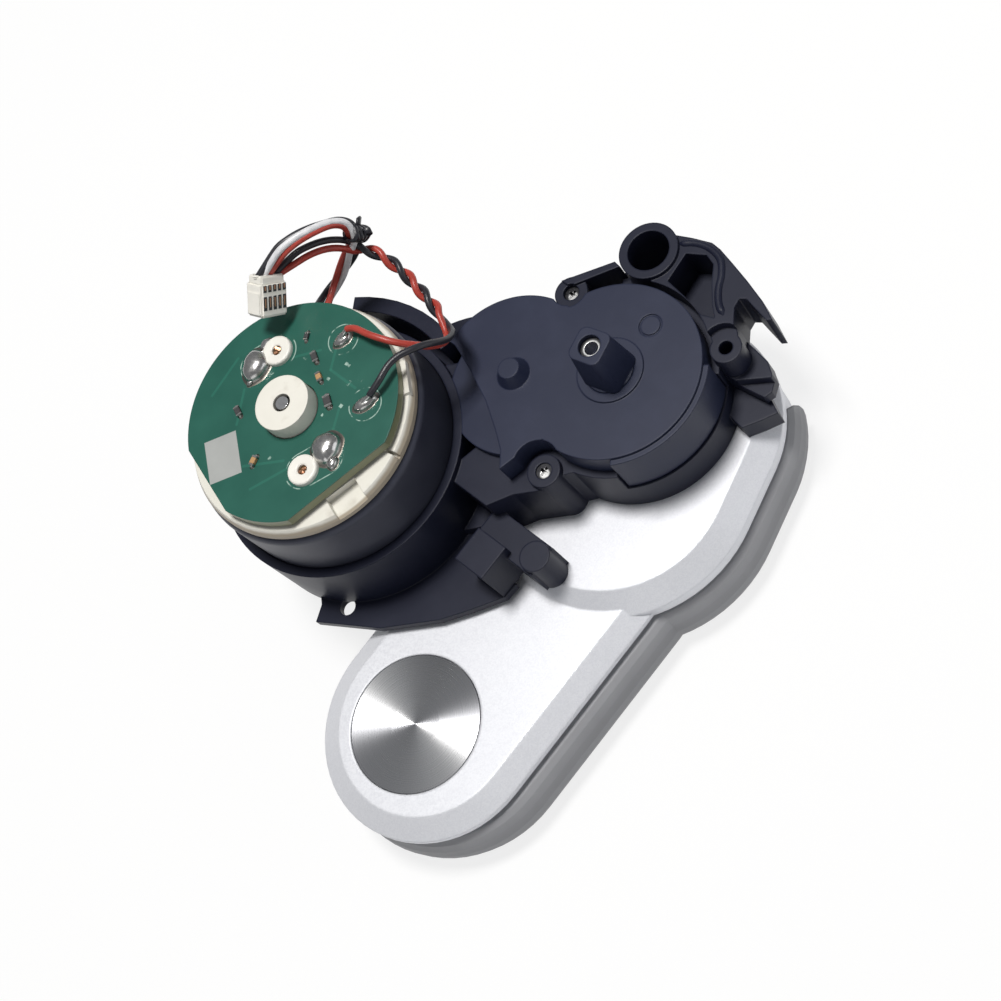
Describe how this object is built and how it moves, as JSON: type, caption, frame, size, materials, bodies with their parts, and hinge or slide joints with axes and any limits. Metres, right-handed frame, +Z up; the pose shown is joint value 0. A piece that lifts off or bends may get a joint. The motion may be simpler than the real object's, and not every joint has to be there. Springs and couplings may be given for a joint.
{
  "type": "robot vacuum side brush motor",
  "caption": "Side brush drive of a robot vacuum: flat motor with circuit board and leads, black gear housing with a square brush shaft, on a silver base with a turned disc.",
  "frame": {"origin": "on the brush shaft's axis, at the level the base stands on", "axes": "+Z up along the brush shaft, +X from the brush shaft towards the low end of the base with the disc, -Y towards the motor"},
  "size_m": [0.0945, 0.0747, 0.0498],
  "materials": {
    "silver_paint": "satin silver paint on plastic",
    "bumper_grey": "soft grey",
    "spun_aluminium": "face turned, fine concentric lines",
    "black_plastic": "fine textured moulding",
    "plated_screw": "zinc plated",
    "brass": "turned",
    "gear_acetal": "natural acetal",
    "steel_pin": "ground",
    "dark_can": "dark coating",
    "cream_plastic": "moulded",
    "ferrite": "matt",
    "lamination": "varnished steel",
    "copper": "enamelled copper",
    "sintered_bronze": "oiled",
    "carbon": "pressed carbon",
    "board_green": "solder resist",
    "solder": "dull solder",
    "chip_black": "moulded",
    "lead_red": "insulation",
    "lead_black": "insulation"
  },
  "bodies": {
    "drive_body": {"base_shell": "silver_paint", "base_bumper": "bumper_grey", "spun_disc": "spun_aluminium", "gear_housing": "black_plastic", "gear_cover": "black_plastic", "well_cover": "black_plastic", "cover_screws": "plated_screw", "well_screws": "plated_screw", "base_screws": "plated_screw", "idler_pin": "steel_pin", "first_pin": "steel_pin", "motor_can": "dark_can", "end_bell": "cream_plastic", "magnets": "ferrite", "front_bush": "sintered_bronze", "rear_bush": "sintered_bronze", "carbon_brushes": "carbon", "brush_springs": "brass", "circuit_board": "board_green", "brush_tabs": "cream_plastic", "solder_joints": "solder", "board_parts": "chip_black", "motor_screws": "plated_screw", "lead_plug": "cream_plastic", "plug_leads": "lead_red", "lead_tie": "lead_black", "sensor_leads": "lead_red", "power_leads": "lead_black", "motor_leads": "lead_red", "red_lead": "lead_red", "black_lead": "lead_black"},
    "rotor": {"motor_shaft": "steel_pin", "motor_pinion": "brass", "rotor_core": "lamination", "rotor_windings": "copper", "commutator": "copper"},
    "first_wheel": {"first_gear": "gear_acetal"},
    "idler_wheel": {"idler_gear": "gear_acetal"},
    "brush_shaft": {"brush_shaft_gear": "black_plastic", "shaft_insert": "brass"}
  },
  "joints": [
    {"name": "rotor_spin", "type": "hinge", "parent": "drive_body", "child": "rotor", "pos_m": [0.0313, -0.0305, 0], "axis": [0, 0, 1], "continuous": true},
    {"name": "first_gear_spin", "type": "hinge", "parent": "drive_body", "child": "first_wheel", "pos_m": [0.01569, -0.02153, 0], "axis": [0, 0, 1], "continuous": true},
    {"name": "idler_spin", "type": "hinge", "parent": "drive_body", "child": "idler_wheel", "pos_m": [0.00794, -0.01237, 0], "axis": [0, 0, 1], "continuous": true},
    {"name": "brush_shaft_spin", "type": "hinge", "parent": "drive_body", "child": "brush_shaft", "pos_m": [0, 0, 0], "axis": [0, 0, 1], "continuous": true}
  ],
  "couplings": [
    {"joint": "first_gear_spin", "follows": "rotor_spin", "ratio": -0.2},
    {"joint": "idler_spin", "follows": "rotor_spin", "ratio": 0.066667},
    {"joint": "brush_shaft_spin", "follows": "rotor_spin", "ratio": -0.017094}
  ]
}
